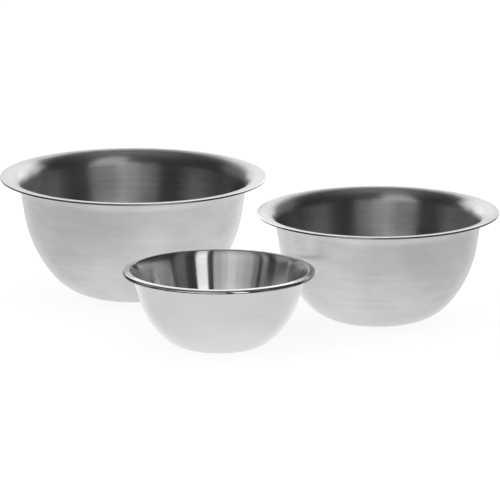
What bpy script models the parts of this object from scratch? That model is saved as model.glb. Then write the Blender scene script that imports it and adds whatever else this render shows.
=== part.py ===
"""A set of three stainless-steel bowls, each drawn from a single disc of sheet steel.

The large and the medium bowl are one design at two sizes: a small flat foot, a deep rounded body and
a rim that flares out into a narrow flange, which droops a little and turns down at its edge. The small
bowl has a broader foot, and its wall leans out below the rim, which turns over a tight crest, slopes
gently down and curls under at its edge.

Metres, +Z up. The feet stand on Z = 0, with the origin below the middle of the set's plan outline.
"""

import math
from dataclasses import dataclass

import bmesh
import bpy
from mathutils import Vector

# Driving dimensions
SHEET = 0.0008                      # thickness of the drawn sheet
LARGE_RIM = 0.140                   # rim radius of the large bowl
MEDIUM_RIM = 0.9 * LARGE_RIM
SMALL_RIM = 0.100
DEEP_HEIGHT_RATIO = 0.91            # height over rim radius of the large and the medium bowl
SMALL_HEIGHT = 0.081

# Where the other two bowls stand from the large one's axis: to the right, and towards the front
MEDIUM_OFFSET = Vector((0.256, -0.117))
SMALL_OFFSET = Vector((0.091, -0.241))

SEGMENTS = 48                       # facets around each bowl
ARC_STEP = 13.0                     # widest turn between two outline points on an arc, in degrees
FULL_TURN = 2 * math.pi
MERGE_DISTANCE = 1e-6
SHARP_ANGLE = math.radians(40)


@dataclass(frozen=True)
class BowlShape:
    """The underside outline from the axis outwards. Steepness is in degrees above the horizontal."""

    name: str
    rim_radius: float
    height: float
    foot_radius: float              # flat disc that the bowl stands on
    corner_radius: float            # arc that leaves the foot
    corner_steepness: float         # steepness where the corner gives way to the body
    body_radius: float              # arc up the body
    wall_steepness: float           # steepness of the straight wall above the body
    flare_radius: float             # arc that turns the wall out into the flange
    flange_steepness: float         # below zero, because the flange slopes down
    lip_radius: float               # arc that curls the flange's edge under
    lip_steepness: float
    lean_radius: float = 0.0        # arc that leans the wall out below the flare
    lean_steepness: float = 0.0


def deep_shape(name, rim_radius):
    """The large and the medium bowl: one design, in proportion to its rim radius."""
    return BowlShape(
        name=name,
        rim_radius=rim_radius,
        height=DEEP_HEIGHT_RATIO * rim_radius,
        foot_radius=0.24 * rim_radius,
        corner_radius=0.48 * rim_radius,
        corner_steepness=49.0,
        body_radius=0.92 * rim_radius,
        wall_steepness=81.0,
        flare_radius=0.12 * rim_radius,
        flange_steepness=-4.0,
        lip_radius=0.0008,
        lip_steepness=-75.0,
    )


def small_shape(name):
    """The small bowl, with a broader foot and a rim that turns over sharply and curls under."""
    return BowlShape(
        name=name,
        rim_radius=SMALL_RIM,
        height=SMALL_HEIGHT,
        foot_radius=0.295 * SMALL_RIM,
        corner_radius=0.39 * SMALL_RIM,
        corner_steepness=38.0,
        body_radius=0.825 * SMALL_RIM,
        wall_steepness=72.0,
        flare_radius=0.0012,
        flange_steepness=-8.0,
        lip_radius=0.0024,
        lip_steepness=-82.0,
        lean_radius=0.032,
        lean_steepness=58.0,
    )


class Outline:
    """A chain of straight runs and tangent arcs in the plane of radius and height.

    It keeps the direction at each point, so the sheet's other face is the same chain moved sideways
    by the sheet's thickness.
    """

    def __init__(self):
        self.points = [Vector((0.0, 0.0))]
        self.directions = [0.0]

    def add(self, point, direction):
        self.points.append(point)
        self.directions.append(direction)

    def run(self, length):
        direction = self.directions[-1]
        step = Vector((math.cos(direction), math.sin(direction))) * length
        self.add(self.points[-1] + step, direction)

    def arc(self, radius, steepness):
        """Turn until the outline climbs at this steepness, in degrees."""
        start = self.directions[-1]
        end = math.radians(steepness)
        signed_radius = math.copysign(radius, end - start)
        centre = self.points[-1] + signed_radius * left_of(start)
        steps = math.ceil(abs(end - start) / math.radians(ARC_STEP))
        for step in range(1, steps + 1):
            direction = start + (end - start) * step / steps
            self.add(centre - signed_radius * left_of(direction), direction)

    def upper_points(self):
        return [
            point + SHEET * left_of(direction)
            for point, direction in zip(self.points, self.directions)
        ]

    def top(self):
        return max(point.y for point in self.upper_points())

    def reach(self):
        return max(point.x for point in self.points + self.upper_points())


def left_of(direction):
    """Unit vector a quarter turn to the left of a direction, which is the inside of the bowl."""
    return Vector((-math.sin(direction), math.cos(direction)))


def draw_outline(shape, wall_run, flange_run):
    outline = Outline()
    outline.run(shape.foot_radius)
    outline.arc(shape.corner_radius, shape.corner_steepness)
    outline.arc(shape.body_radius, shape.wall_steepness)
    outline.run(wall_run)
    if shape.lean_radius:
        outline.arc(shape.lean_radius, shape.lean_steepness)
    outline.arc(shape.flare_radius, 0.0)
    outline.arc(shape.flare_radius, shape.flange_steepness)
    outline.run(flange_run)
    outline.arc(shape.lip_radius, shape.lip_steepness)
    return outline


def bowl_outline(shape):
    """The straight wall takes up the height that the arcs leave, and the flange the radius."""
    arcs_only = draw_outline(shape, 0.0, 0.0)
    wall_run = (shape.height - arcs_only.top()) / math.sin(math.radians(shape.wall_steepness))
    without_flange = draw_outline(shape, wall_run, 0.0)
    missing_reach = shape.rim_radius - without_flange.reach()
    flange_run = missing_reach / math.cos(math.radians(shape.flange_steepness))
    return draw_outline(shape, wall_run, flange_run)


def sheet_section(shape):
    """Section of the sheet: out along its upper face, over the edge, and back underneath."""
    outline = bowl_outline(shape)
    return outline.upper_points() + outline.points[::-1]


def revolve(name, section):
    """Turn a section that starts and ends on the axis into a closed solid of revolution."""
    shell = bmesh.new()
    corners = [shell.verts.new((point.x, 0.0, point.y)) for point in section]
    edges = [shell.edges.new(pair) for pair in zip(corners, corners[1:])]
    bmesh.ops.spin(
        shell,
        geom=corners + edges,
        cent=(0.0, 0.0, 0.0),
        axis=(0.0, 0.0, 1.0),
        angle=FULL_TURN,
        steps=SEGMENTS,
        use_merge=True,
    )
    bmesh.ops.remove_doubles(shell, verts=shell.verts, dist=MERGE_DISTANCE)
    bmesh.ops.recalc_face_normals(shell, faces=shell.faces)
    mesh = bpy.data.meshes.new(name)
    shell.to_mesh(mesh)
    shell.free()
    mesh.shade_smooth()
    mesh.set_sharp_from_angle(angle=SHARP_ANGLE)
    return mesh


def steel(name, grey, roughness):
    material = bpy.data.materials.new(name)
    material.use_nodes = True
    shader = material.node_tree.nodes["Principled BSDF"]
    shader.inputs["Base Color"].default_value = (grey, grey, grey, 1.0)
    shader.inputs["Metallic"].default_value = 1.0
    shader.inputs["Roughness"].default_value = roughness
    return material


def place_bowl(shape, centre, material):
    mesh = revolve(shape.name, sheet_section(shape))
    mesh.materials.append(material)
    bowl = bpy.data.objects.new(shape.name, mesh)
    bowl.location = (centre.x, centre.y, 0.0)
    bpy.context.scene.collection.objects.link(bowl)
    return bowl


def plan_middle(shapes, centres):
    """Middle of the box that the rims fill when they are seen from above."""
    rims = [(shape.rim_radius, centre) for shape, centre in zip(shapes, centres)]
    return Vector((
        (min(c.x - r for r, c in rims) + max(c.x + r for r, c in rims)) / 2,
        (min(c.y - r for r, c in rims) + max(c.y + r for r, c in rims)) / 2,
    ))


def remove_everything():
    for old in list(bpy.data.objects):
        bpy.data.objects.remove(old, do_unlink=True)


def build():
    remove_everything()
    shapes = [
        deep_shape("large_bowl", LARGE_RIM),
        deep_shape("medium_bowl", MEDIUM_RIM),
        small_shape("small_bowl"),
    ]
    centres = [Vector((0.0, 0.0)), MEDIUM_OFFSET, SMALL_OFFSET]
    materials = [
        steel("large_satin_steel", 0.60, 0.30),
        steel("medium_satin_steel", 0.60, 0.30),
        steel("small_polished_steel", 0.64, 0.16),
    ]
    origin = plan_middle(shapes, centres)
    for shape, centre, material in zip(shapes, centres, materials):
        place_bowl(shape, centre - origin, material)


build()
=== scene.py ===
"""Looks for the set of three stainless-steel bowls: fine meshes, steel finishes, studio and camera."""

import math
from dataclasses import dataclass

import bpy
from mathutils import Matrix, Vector


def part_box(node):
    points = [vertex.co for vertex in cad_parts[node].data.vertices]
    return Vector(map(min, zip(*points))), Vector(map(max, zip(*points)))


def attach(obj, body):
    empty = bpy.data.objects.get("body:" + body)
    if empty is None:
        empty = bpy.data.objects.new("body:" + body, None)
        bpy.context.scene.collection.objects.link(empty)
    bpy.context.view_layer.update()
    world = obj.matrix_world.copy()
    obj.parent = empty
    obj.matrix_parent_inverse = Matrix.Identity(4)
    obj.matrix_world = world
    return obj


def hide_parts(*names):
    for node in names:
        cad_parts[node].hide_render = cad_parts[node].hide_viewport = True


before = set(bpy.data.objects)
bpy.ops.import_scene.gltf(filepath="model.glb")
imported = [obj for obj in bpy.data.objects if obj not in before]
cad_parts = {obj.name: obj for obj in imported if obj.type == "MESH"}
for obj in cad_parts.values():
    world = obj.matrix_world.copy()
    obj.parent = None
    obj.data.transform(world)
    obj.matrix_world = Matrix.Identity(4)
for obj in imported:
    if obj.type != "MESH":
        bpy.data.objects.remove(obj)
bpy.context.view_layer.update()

FULL_TURN = 2 * math.pi

# Mesh fineness
AROUND = 288                        # facets around each bowl
ARC_STEP = math.radians(3.0)        # widest turn between two outline points on an arc
EDGE_STEPS = 8                      # facets over the rounded edge of the sheet

SHEET = 0.0008                      # thickness of the drawn sheet

# Camera: aimed near the set's middle, on a long lens, from the elevation that the large bowl was seen from
CAMERA_TARGET = Vector((0.0018, 0.0434, 0.06))
CAMERA_ELEVATION = math.radians(12.7)
CAMERA_DISTANCE = 11.63
CAMERA_LENS = 800.0
CAMERA_SENSOR = 36.0
CAMERA_REACH = 10 * CAMERA_DISTANCE # nothing further off is drawn

FLOOR_RADIUS = 12.0
FLOOR_SIDES = 96

GLOSSY_BOUNCES = 12                 # enough for the insides, where light goes round from wall to wall


# --- Bowl geometry -----------------------------------------------------------------------------


@dataclass(frozen=True)
class BowlShape:
    """The underside outline from the axis outwards. Steepness is in degrees above the horizontal."""

    rim_radius: float
    height: float
    foot_radius: float              # flat disc that the bowl stands on
    corner_radius: float            # arc that leaves the foot
    corner_steepness: float         # steepness where the corner gives way to the body
    body_radius: float              # arc up the body
    wall_steepness: float           # steepness of the straight wall above the body
    flare_radius: float             # arc that turns the wall out into the flange
    flange_steepness: float         # below zero, because the flange slopes down
    lip_radius: float               # arc that curls the flange's edge under
    lip_steepness: float
    lean_radius: float = 0.0        # arc that leans the wall out below the flare
    lean_steepness: float = 0.0


def deep_shape(rim_radius, height):
    """The large and the medium bowl: one design, in proportion to its rim radius."""
    return BowlShape(
        rim_radius=rim_radius,
        height=height,
        foot_radius=0.24 * rim_radius,
        corner_radius=0.48 * rim_radius,
        corner_steepness=49.0,
        body_radius=0.92 * rim_radius,
        wall_steepness=81.0,
        flare_radius=0.12 * rim_radius,
        flange_steepness=-4.0,
        lip_radius=0.0008,
        lip_steepness=-75.0,
    )


def small_shape(rim_radius, height):
    """The small bowl, with a broader foot and a rim that turns over sharply and curls under."""
    return BowlShape(
        rim_radius=rim_radius,
        height=height,
        foot_radius=0.295 * rim_radius,
        corner_radius=0.39 * rim_radius,
        corner_steepness=38.0,
        body_radius=0.825 * rim_radius,
        wall_steepness=72.0,
        flare_radius=0.0012,
        flange_steepness=-8.0,
        lip_radius=0.0024,
        lip_steepness=-82.0,
        lean_radius=0.032,
        lean_steepness=58.0,
    )


def left_of(direction):
    """Unit vector a quarter turn to the left of a direction, which is the inside of the bowl."""
    return Vector((-math.sin(direction), math.cos(direction)))


def along(direction):
    return Vector((math.cos(direction), math.sin(direction)))


class Outline:
    """A chain of straight runs and tangent arcs in the plane of radius and height."""

    def __init__(self):
        self.points = [Vector((0.0, 0.0))]
        self.directions = [0.0]

    def add(self, point, direction):
        self.points.append(point)
        self.directions.append(direction)

    def run(self, length, steps=1):
        direction = self.directions[-1]
        start = self.points[-1]
        for step in range(1, steps + 1):
            self.add(start + along(direction) * length * step / steps, direction)

    def arc(self, radius, steepness):
        """Turn until the outline climbs at this steepness, in degrees."""
        start = self.directions[-1]
        end = math.radians(steepness)
        signed_radius = math.copysign(radius, end - start)
        centre = self.points[-1] + signed_radius * left_of(start)
        steps = math.ceil(abs(end - start) / ARC_STEP)
        for step in range(1, steps + 1):
            direction = start + (end - start) * step / steps
            self.add(centre - signed_radius * left_of(direction), direction)

    def upper_points(self):
        return [
            point + SHEET * left_of(direction)
            for point, direction in zip(self.points, self.directions)
        ]

    def top(self):
        return max(point.y for point in self.upper_points())

    def reach(self):
        return max(point.x for point in self.points + self.upper_points())

    def rounded_edge(self):
        """Half a circle over the sheet's edge, from its upper face round to its lower one."""
        direction = self.directions[-1]
        middle = self.points[-1] + SHEET / 2 * left_of(direction)
        angles = [math.pi / 2 - math.pi * step / EDGE_STEPS for step in range(1, EDGE_STEPS)]
        return [middle + SHEET / 2 * along(direction + angle) for angle in angles]


FOOT_STEPS = 6                      # stretches that the flat foot's run is divided into
WALL_STEPS = 4                      # the same, for the straight wall


def draw_outline(shape, wall_run, flange_run):
    """The sheet's underside up to where its edge starts to round over."""
    outline = Outline()
    outline.run(shape.foot_radius, FOOT_STEPS)
    outline.arc(shape.corner_radius, shape.corner_steepness)
    outline.arc(shape.body_radius, shape.wall_steepness)
    outline.run(wall_run, WALL_STEPS)
    if shape.lean_radius:
        outline.arc(shape.lean_radius, shape.lean_steepness)
    outline.arc(shape.flare_radius, 0.0)
    outline.arc(shape.flare_radius, shape.flange_steepness)
    outline.run(flange_run)
    outline.arc(shape.lip_radius, shape.lip_steepness)
    return outline


def bowl_outline(shape):
    """The straight wall takes up the height that the arcs leave, and the flange the radius."""
    arcs_only = draw_outline(shape, 0.0, 0.0)
    wall_run = (shape.height - arcs_only.top()) / math.sin(math.radians(shape.wall_steepness))
    without_flange = draw_outline(shape, wall_run, 0.0)
    reach = max([without_flange.reach()] + [point.x for point in without_flange.rounded_edge()])
    flange_run = (shape.rim_radius - reach) / math.cos(math.radians(shape.flange_steepness))
    return draw_outline(shape, wall_run, flange_run)


INSIDE, RIM, EDGE, OUTSIDE = range(4)    # material slots of a bowl's mesh


def sheet_section(shape):
    """The sheet's outline, out along its upper face and back underneath, and each stretch's material."""
    outline = bowl_outline(shape)
    inside = outline.upper_points()
    edge = outline.rounded_edge()
    outside = outline.points[::-1]
    crest = max(range(len(inside)), key=lambda number: inside[number].y)
    zones = [INSIDE] * crest + [RIM] * (len(inside) - 1 - crest)
    zones += [EDGE] * (len(edge) + 1) + [OUTSIDE] * (len(outside) - 1)
    return inside + edge + outside, zones


def revolve(name, section, zones):
    """Turn a section that starts and ends on the axis into a closed mesh, with a material per stretch."""
    rings = section[1:-1]
    count = len(rings)
    vertices = [(0.0, 0.0, section[0].y), (0.0, 0.0, section[-1].y)]
    on_axis = len(vertices)
    for turn in range(AROUND):
        angle = FULL_TURN * turn / AROUND
        vertices += [(p.x * math.cos(angle), p.x * math.sin(angle), p.y) for p in rings]
    faces = []
    face_zones = []
    for turn in range(AROUND):
        here = on_axis + turn * count
        there = on_axis + (turn + 1) % AROUND * count
        faces.append((0, here, there))
        faces += [(here + k, here + k + 1, there + k + 1, there + k) for k in range(count - 1)]
        faces.append((here + count - 1, 1, there + count - 1))
        face_zones += zones
    mesh = bpy.data.meshes.new(name)
    mesh.from_pydata(vertices, [], faces)
    mesh.polygons.foreach_set("material_index", face_zones)
    mesh.shade_smooth()
    mesh.update()
    return mesh


# --- Node helpers ------------------------------------------------------------------------------

NOISE_RANGE = (0.3, 0.7)            # where nearly all of a noise texture's values lie


class Graph:
    """Adds nodes to a node tree and links each input that is given as a socket."""

    def __init__(self, tree):
        self.tree = tree

    def node(self, kind, inputs=None, **settings):
        node = self.tree.nodes.new(kind)
        for key, value in settings.items():
            setattr(node, key, value)
        for key, value in (inputs or {}).items():
            self.feed(node.inputs[key], value)
        return node

    def feed(self, socket, value):
        if isinstance(value, bpy.types.NodeSocket):
            self.tree.links.new(value, socket)
        else:
            socket.default_value = value

    def math(self, operation, *values):
        node = self.node("ShaderNodeMath", operation=operation)
        for socket, value in zip(node.inputs, values):
            self.feed(socket, value)
        return node.outputs[0]

    def vector_math(self, operation, *values):
        node = self.node("ShaderNodeVectorMath", operation=operation)
        for socket, value in zip(node.inputs, values):
            self.feed(socket, value)
        return node

    def rise(self, value, start, end, low=0.0, high=1.0):
        """A smooth step from low to high while the value goes from start to end."""
        inputs = {"Value": value, "From Min": start, "From Max": end, "To Min": low, "To Max": high}
        return self.node("ShaderNodeMapRange", inputs, interpolation_type="SMOOTHSTEP").outputs[0]

    def spread(self, noise, reach):
        """Noise, scaled so that its usual range goes from -reach to reach."""
        low, high = NOISE_RANGE
        inputs = {"Value": noise, "From Min": low, "From Max": high, "To Min": -reach, "To Max": reach}
        return self.node("ShaderNodeMapRange", inputs, clamp=False).outputs[0]

    def blend(self, factor, first, second):
        """The first value where the factor is 0, and the second where it is 1."""
        node = self.node("ShaderNodeMix", data_type="FLOAT")
        for number, value in ((0, factor), (2, first), (3, second)):
            self.feed(node.inputs[number], value)
        return node.outputs[0]


# --- Steel -------------------------------------------------------------------------------------


@dataclass(frozen=True)
class Finish:
    """How a steel surface is finished. Lengths are in metres."""

    grey: float                     # mean reflectance
    roughness: float
    anisotropy: float               # how much further the shine spreads up the wall than around it
    line_depth: float               # depth of the turning lines
    line_shade: float               # how far the lines vary the grey
    blotch_shade: float             # how far the cloudy patches vary the grey
    blotch_roughness: float         # how far they vary the roughness
    seed: float


SATIN_OUTSIDE = Finish(
    grey=0.60, roughness=0.34, anisotropy=0.6, line_depth=5e-6,
    line_shade=0.024, blotch_shade=0.050, blotch_roughness=0.04, seed=0.0,
)
TURNED_INSIDE = Finish(
    grey=0.60, roughness=0.30, anisotropy=0.9, line_depth=5e-6,
    line_shade=0.050, blotch_shade=0.020, blotch_roughness=0.03, seed=7.0,
)
SATIN_RIM = Finish(
    grey=0.60, roughness=0.20, anisotropy=0.6, line_depth=3e-6,
    line_shade=0.030, blotch_shade=0.020, blotch_roughness=0.02, seed=9.0,
)
# Painted shade: the sheet's cut edge gets a near-black grey. It stands in for the shade and dark
# reflections along the rim's edge.
DARK_PAINTED_EDGE = Finish(
    grey=0.08, roughness=0.40, anisotropy=0.0, line_depth=0.0,
    line_shade=0.020, blotch_shade=0.020, blotch_roughness=0.03, seed=11.0,
)
FINE_SATIN = Finish(
    grey=0.64, roughness=0.28, anisotropy=0.6, line_depth=2e-6,
    line_shade=0.012, blotch_shade=0.020, blotch_roughness=0.02, seed=17.0,
)
POLISHED = Finish(
    grey=0.64, roughness=0.17, anisotropy=1.0, line_depth=2e-6,
    line_shade=0.025, blotch_shade=0.015, blotch_roughness=0.02, seed=23.0,
)
POLISHED_RIM = Finish(
    grey=0.64, roughness=0.12, anisotropy=0.6, line_depth=2e-6,
    line_shade=0.020, blotch_shade=0.015, blotch_roughness=0.02, seed=29.0,
)

LINE_PITCH = 0.003                  # widest spacing of the turning lines, across them
LINE_STREAKS = 1.5                  # how often a line changes along each radian of its turn
FINE_LINE_WEIGHT = 0.62             # of each finer layer of lines, against the one before
NOISE_LAYERS = 2.0                  # finer layers in the lines and in the patches
BLOTCH_SIZE = 0.035
BLOTCH_SQUASH = 2.0                 # how much wider than high the patches are
QUARTER_TURN = 0.25                 # anisotropic rotation that spreads the shine up the wall


def turned_lines(graph, place, seed):
    """Noise drawn out around the axis: it changes fast up the wall and slowly around it."""
    parts = graph.node("ShaderNodeSeparateXYZ", {0: place}).outputs
    flat = graph.node("ShaderNodeCombineXYZ", {"X": parts["X"], "Y": parts["Y"]}).outputs[0]
    radius = graph.vector_math("LENGTH", flat).outputs["Value"]
    around = graph.vector_math("NORMALIZE", flat).outputs[0]
    streak = graph.vector_math("SCALE", around)
    streak.inputs["Scale"].default_value = LINE_STREAKS
    height = graph.math("DIVIDE", parts["Z"], LINE_PITCH)
    lifted = graph.node("ShaderNodeCombineXYZ", {"Z": height}).outputs[0]
    point = graph.vector_math("ADD", streak.outputs[0], lifted).outputs[0]
    across = graph.math("ADD", graph.math("DIVIDE", radius, LINE_PITCH), seed)
    inputs = {
        "Vector": point,
        "W": across,
        "Scale": 1.0,
        "Detail": NOISE_LAYERS,
        "Roughness": FINE_LINE_WEIGHT,
    }
    return graph.node("ShaderNodeTexNoise", inputs, noise_dimensions="4D").outputs[0]


def blotches(graph, place, seed):
    """Cloudy patches, wider than high."""
    stretched = graph.vector_math("MULTIPLY", place, (1.0, 1.0, BLOTCH_SQUASH)).outputs[0]
    inputs = {"Vector": stretched, "W": seed, "Scale": 1 / BLOTCH_SIZE, "Detail": NOISE_LAYERS}
    return graph.node("ShaderNodeTexNoise", inputs, noise_dimensions="4D").outputs[0]


def steel(name, finish):
    """Lines and patches vary the grey, the lines are also a relief, and the patches vary the roughness."""
    material = bpy.data.materials.new(name)
    material.use_nodes = True
    graph = Graph(material.node_tree)
    shader = material.node_tree.nodes["Principled BSDF"]
    place = graph.node("ShaderNodeTexCoord").outputs["Object"]
    lines = turned_lines(graph, place, finish.seed)
    patches = blotches(graph, place, finish.seed)
    grey = graph.math("ADD", graph.spread(lines, finish.line_shade), finish.grey)
    grey = graph.math("ADD", graph.spread(patches, finish.blotch_shade), grey)
    rough = graph.math("ADD", graph.spread(patches, finish.blotch_roughness), finish.roughness)
    colour = graph.node("ShaderNodeCombineColor", {"Red": grey, "Green": grey, "Blue": grey})
    graph.feed(shader.inputs["Base Color"], colour.outputs[0])
    graph.feed(shader.inputs["Roughness"], rough)
    shader.inputs["Metallic"].default_value = 1.0
    if finish.anisotropy:
        shader.inputs["Anisotropic"].default_value = finish.anisotropy
        shader.inputs["Anisotropic Rotation"].default_value = QUARTER_TURN
        tangent = graph.node("ShaderNodeTangent", direction_type="RADIAL", axis="Z")
        graph.feed(shader.inputs["Tangent"], tangent.outputs[0])
    if finish.line_depth:
        bump = graph.node("ShaderNodeBump", {"Height": lines, "Distance": finish.line_depth})
        graph.feed(shader.inputs["Normal"], bump.outputs[0])
    return material


# --- Bowls -------------------------------------------------------------------------------------


def place_bowl(node, body, make_shape, materials):
    """A fine bowl in its CAD node's place, with the size that the node's box gives."""
    low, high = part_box(node)
    shape = make_shape((high.x - low.x) / 2, high.z)
    section, zones = sheet_section(shape)
    bowl = bpy.data.objects.new(node + "_shell", revolve(node + "_shell", section, zones))
    bowl.location = ((low.x + high.x) / 2, (low.y + high.y) / 2, 0.0)
    for material in materials:
        bowl.data.materials.append(material)
    bpy.context.scene.collection.objects.link(bowl)
    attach(bowl, body)
    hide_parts(node)
    return bowl


# --- Studio ------------------------------------------------------------------------------------

WHITE = (1.0, 1.0, 1.0, 1.0)

# Radiance of the studio's parts, as the steel sees them
DARK = 0.045                        # the dark studio
OVERHEAD = 0.105                    # above the set
SKYLIGHT = 0.35                     # high up in the rear half
BACK_WALL = 1.00                    # the white wall behind the set
FLOOR_SHARE = 0.58                  # the floor in front, to which each bowl's floor light adds the rest
NEAR_FLOOR_SHARE = 0.71             # the same, straight below
BACK_FLOOR_SHARE = 0.74             # the same, behind the set

# Where those parts fade from one into the next: elevations in degrees above the horizontal
WALL_FOOT = (-3.0, 3.0)
WALL_TOP = (43.0, 33.0)
OVERHEAD_RISE = (35.0, 75.0)
SKYLIGHT_RISE = (58.0, 82.0)
NEAR_FLOOR_RISE = (-70.0, -35.0)
FRONT_FLOOR_END = -10.0             # where the floor ends in front of the set: behind, it ends at 0
FLOOR_FADE = 8.0                    # from the floor's end downwards

# The same: bearings in degrees from straight back, the outer one first
WALL_SIDES = (29.0, 22.0)
SKYLIGHT_SIDES = (90.0, 72.5)
FRONT_FLOOR_SIDES = (120.0, 80.0)
BACK_FLOOR_SIDES = (45.0, 22.0)


def studio_radiance(graph):
    """What the steel sees in each direction."""
    direction = graph.node("ShaderNodeTexCoord").outputs["Generated"]
    parts = graph.node("ShaderNodeSeparateXYZ", {0: direction}).outputs
    elevation = graph.math("DEGREES", graph.math("ARCSINE", parts["Z"]))
    flat = graph.node("ShaderNodeCombineXYZ", {"X": parts["X"], "Y": parts["Y"]}).outputs[0]
    heading = graph.vector_math("NORMALIZE", flat).outputs[0]
    to_back = graph.node("ShaderNodeSeparateXYZ", {0: heading}).outputs["Y"]

    def inwards(bearings, low=0.0, high=1.0):
        """A smooth step from low to high between two bearings."""
        outer, inner = (math.cos(math.radians(bearing)) for bearing in bearings)
        return graph.rise(to_back, outer, inner, low, high)

    wall = graph.math("MULTIPLY", graph.rise(elevation, *WALL_FOOT), graph.rise(elevation, *WALL_TOP))
    wall = graph.math("MULTIPLY", wall, inwards(WALL_SIDES))
    floor_end = inwards(FRONT_FLOOR_SIDES, FRONT_FLOOR_END, 0.0)
    floor = graph.rise(graph.math("SUBTRACT", floor_end, elevation), 0.0, FLOOR_FADE)
    floor_light = graph.rise(elevation, *NEAR_FLOOR_RISE, NEAR_FLOOR_SHARE, FLOOR_SHARE)
    floor_light = graph.blend(inwards(BACK_FLOOR_SIDES), floor_light, BACK_FLOOR_SHARE)
    ceiling = graph.rise(elevation, *OVERHEAD_RISE, DARK, OVERHEAD)
    skylight = graph.math("MULTIPLY", graph.rise(elevation, *SKYLIGHT_RISE), inwards(SKYLIGHT_SIDES))
    ceiling = graph.blend(skylight, ceiling, SKYLIGHT)
    return graph.blend(floor, graph.blend(wall, ceiling, BACK_WALL), floor_light)


def build_world():
    """Even white to the camera and to the floor, and a dark studio with a white wall to the steel."""
    world = bpy.data.worlds.new("studio")
    bpy.context.scene.world = world
    world.use_nodes = True
    tree = world.node_tree
    tree.nodes.clear()
    graph = Graph(tree)
    path = graph.node("ShaderNodeLightPath").outputs
    plain = graph.math("MAXIMUM", path["Is Camera Ray"], path["Is Diffuse Ray"])
    strength = graph.blend(plain, studio_radiance(graph), 1.0)
    background = graph.node("ShaderNodeBackground", {"Color": WHITE, "Strength": strength})
    output = graph.node("ShaderNodeOutputWorld")
    tree.links.new(background.outputs[0], output.inputs["Surface"])


FLOOR_ALBEDO = 0.2
FLOOR_GLOW = 0.86                   # its own light, which keeps the contact shade faint


def build_floor():
    """A pale floor with a faint contact shade. The steel mirrors the studio's floor light in its place."""
    material = bpy.data.materials.new("pale_floor")
    material.use_nodes = True
    tree = material.node_tree
    shader = tree.nodes["Principled BSDF"]
    shader.inputs["Base Color"].default_value = (FLOOR_ALBEDO, FLOOR_ALBEDO, FLOOR_ALBEDO, 1.0)
    shader.inputs["Roughness"].default_value = 1.0
    shader.inputs["Specular IOR Level"].default_value = 0.0
    shader.inputs["Emission Color"].default_value = WHITE
    shader.inputs["Emission Strength"].default_value = FLOOR_GLOW
    rim = [FULL_TURN * side / FLOOR_SIDES for side in range(FLOOR_SIDES)]
    mesh = bpy.data.meshes.new("floor")
    corners = [(FLOOR_RADIUS * math.cos(angle), FLOOR_RADIUS * math.sin(angle), 0.0) for angle in rim]
    mesh.from_pydata(corners, [], [tuple(range(FLOOR_SIDES))])
    mesh.materials.append(material)
    floor = bpy.data.objects.new("floor", mesh)
    bpy.context.scene.collection.objects.link(floor)
    floor.visible_glossy = False


def area_light(name, place, width, height, radiance, bowl, shape="RECTANGLE"):
    """An even light of this radiance that reaches one bowl, and that only this bowl can shade."""
    fill = math.pi / 4 if shape == "ELLIPSE" else 1.0
    data = bpy.data.lights.new(name, "AREA")
    data.shape = shape
    data.size = width
    data.size_y = height
    data.energy = radiance * math.pi * fill * width * height
    light = bpy.data.objects.new(name, data)
    light.location = place
    light.visible_camera = False
    bpy.context.scene.collection.objects.link(light)
    reach = bpy.data.collections.new(name + "_reach")
    reach.objects.link(bowl)
    light.light_linking.receiver_collection = reach
    light.light_linking.blocker_collection = reach
    return light


def soft_panel(name, bowl, bearings, heights, radiance, distance):
    """An upright panel that faces the bowl.

    Bearings are degrees to the right of the camera, as seen from the bowl. Heights are above the floor.
    """
    left, right = (math.radians(bearing) for bearing in bearings)
    low, high = heights
    middle = (left + right) / 2
    width = 2 * distance * math.tan((right - left) / 2)
    place = Vector((
        bowl.location.x + distance * math.sin(middle),
        bowl.location.y - distance * math.cos(middle),
        (low + high) / 2,
    ))
    panel = area_light(name, place, width, high - low, radiance, bowl)
    panel.rotation_euler = (-math.pi / 2, 0.0, math.pi + middle)


FLOOR_LIGHT_REACH = 1.2             # how far a floor light reaches to each side of its bowl
BELOW_FLOOR = 0.01                  # how deep the first floor light lies, and each next one below it
DEEP_FLOOR_STEPS = (
    # where it starts, from the bowl's axis towards the set's middle, and what it adds
    (-FLOOR_LIGHT_REACH, 0.25),
    (-0.10, 0.07),
    (0.05, 0.06),
)
SMALL_FLOOR_STEPS = ((-FLOOR_LIGHT_REACH, 0.37),)


def floor_lights(name, bowl, side, steps):
    """The floor's own light as one bowl reflects it, which the other bowls don't shade.

    It grows in steps towards one side: 1 is right and -1 is left.
    """
    for number, (start, radiance) in enumerate(steps):
        place = Vector((
            bowl.location.x + side * (start + FLOOR_LIGHT_REACH) / 2,
            bowl.location.y,
            -BELOW_FLOOR * (number + 1),
        ))
        width = FLOOR_LIGHT_REACH - start
        label = f"{name}_floor_light_{number}"
        light = area_light(label, place, width, 2 * FLOOR_LIGHT_REACH, radiance, bowl)
        light.rotation_euler = (math.pi, 0.0, 0.0)


MOUTH_LIGHT = 0.40                  # its radiance


def small_mouth_light(name, small, neighbour):
    """Light from the small bowl's mouth, which its neighbour would otherwise mirror as a dark hole."""
    width, depth, height = small.dimensions
    place = Vector((small.location.x, small.location.y, height))
    light = area_light(name, place, width, depth, MOUTH_LIGHT, neighbour, shape="ELLIPSE")
    light.rotation_euler = (math.pi, 0.0, 0.0)
    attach(light, "small")


# Distances of the panels from a bowl's axis
NEAR = 0.6
BEHIND_NEAR = 0.62                  # just behind the near ones, whose light it adds to
SMALL_NEAR = 0.8
FAR = 1.2

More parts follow.
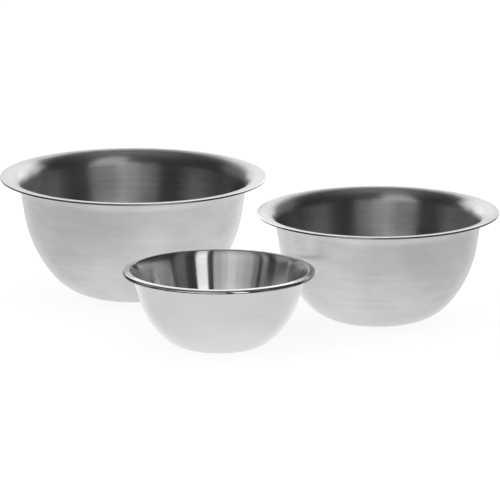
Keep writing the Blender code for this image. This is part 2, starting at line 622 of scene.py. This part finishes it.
DEEP_PANELS = (
    # bearings, heights, radiance, distance: in front of the bowl first, and then behind it
    ((20, 52), (0.12, 0.20), 0.26, NEAR),
    ((-8, 20), (0.12, 0.20), 0.50, NEAR),
    ((-28, -10), (0.12, 0.45), 0.19, NEAR),
    ((20, 52), (0.20, 0.45), 0.39, NEAR),
    ((-8, 20), (0.20, 0.45), 0.61, NEAR),
    ((8, 50), (0.28, 0.45), 0.20, BEHIND_NEAR),
    ((8, 50), (0.45, 1.60), 0.55, NEAR),
    ((150, 184), (0.14, 1.05), 0.12, FAR),
    ((174, 192), (0.50, 1.05), 0.24, FAR),
    ((140, 162), (0.14, 1.05), 1.20, FAR),
    ((122, 140), (0.36, 1.05), 0.85, FAR),
    ((-155, -115), (0.20, 1.05), 0.14, FAR),
)


def light_deep_bowl(name, bowl, side):
    """Broad grey panels, with a bright strip behind the bowl on one side: 1 is right and -1 is left."""
    for number, (bearings, heights, radiance, distance) in enumerate(DEEP_PANELS):
        turned = sorted(side * bearing for bearing in bearings)
        soft_panel(f"{name}_panel_{number}", bowl, turned, heights, radiance, distance)
    floor_lights(name, bowl, side, DEEP_FLOOR_STEPS)


SMALL_PANELS = (
    # bearings, radiance
    ((52, 68), 0.11),
    ((18, 35), 1.30),
    ((-4, 9), 0.52),
    ((-13, -4), 0.66),
    ((-26, -13), 0.82),
    ((-38, -26), 0.66),
    ((-52, -38), 0.54),
    ((-61, -52), 0.28),
    ((-76, -67), 0.32),
    ((-120, -90), 0.24),
)
SMALL_TIERS = (
    # heights, share of the panel's radiance
    ((0.34, 0.62), 1.35),
    ((0.62, 1.05), 0.95),
    ((1.05, 1.90), 0.35),
)
SMALL_RIM_PANELS = (
    # bearings, heights, radiance, distance: the first two for the rim's top, and the last for its curl
    ((178, 200), (0.10, 1.05), 0.30, FAR),
    ((168, 178), (0.52, 1.05), 0.45, FAR),
    ((45, 95), (0.02, 0.24), 0.30, SMALL_NEAR),
)


def light_small_bowl(name, bowl):
    """A row of tall panels that fade upwards, which its polished inside shows as upright stripes."""
    for number, (bearings, radiance) in enumerate(SMALL_PANELS):
        for tier, (heights, share) in enumerate(SMALL_TIERS):
            label = f"{name}_panel_{number}_{tier}"
            soft_panel(label, bowl, bearings, heights, share * radiance, SMALL_NEAR)
    for number, (bearings, heights, radiance, distance) in enumerate(SMALL_RIM_PANELS):
        soft_panel(f"{name}_rim_panel_{number}", bowl, bearings, heights, radiance, distance)
    floor_lights(name, bowl, 1, SMALL_FLOOR_STEPS)


def build_camera():
    data = bpy.data.cameras.new("camera")
    data.lens = CAMERA_LENS
    data.sensor_width = CAMERA_SENSOR
    data.clip_end = CAMERA_REACH
    camera = bpy.data.objects.new("camera", data)
    back = Vector((0.0, -math.cos(CAMERA_ELEVATION), math.sin(CAMERA_ELEVATION)))
    camera.location = CAMERA_TARGET + CAMERA_DISTANCE * back
    camera.rotation_euler = (math.pi / 2 - CAMERA_ELEVATION, 0.0, 0.0)
    bpy.context.scene.collection.objects.link(camera)
    bpy.context.scene.camera = camera


build_camera()
deep_steels = [
    steel("turned_steel_inside", TURNED_INSIDE),
    steel("satin_steel_rim", SATIN_RIM),
    # painted shade: this near-black edge stands in for the shade along the rim
    steel("edge_painted_dark", DARK_PAINTED_EDGE),
    steel("satin_steel_outside", SATIN_OUTSIDE),
]
small_steels = [
    steel("polished_steel_inside", POLISHED),
    steel("polished_steel_rim", POLISHED_RIM),
    # painted shade: this near-black edge stands in for the shade along the rim
    steel("polished_edge_painted_dark", DARK_PAINTED_EDGE),
    steel("fine_satin_steel_outside", FINE_SATIN),
]
large = place_bowl("large_bowl", "large", deep_shape, deep_steels)
medium = place_bowl("medium_bowl", "medium", deep_shape, deep_steels)
small = place_bowl("small_bowl", "small", small_shape, small_steels)

build_world()
build_floor()
light_deep_bowl("large", large, 1)
light_deep_bowl("medium", medium, -1)
light_small_bowl("small", small)
small_mouth_light("small_mouth_to_medium", small, medium)
small_mouth_light("small_mouth_to_large", small, large)

bpy.context.scene.view_settings.view_transform = "Standard"
bpy.context.scene.cycles.glossy_bounces = GLOSSY_BOUNCES
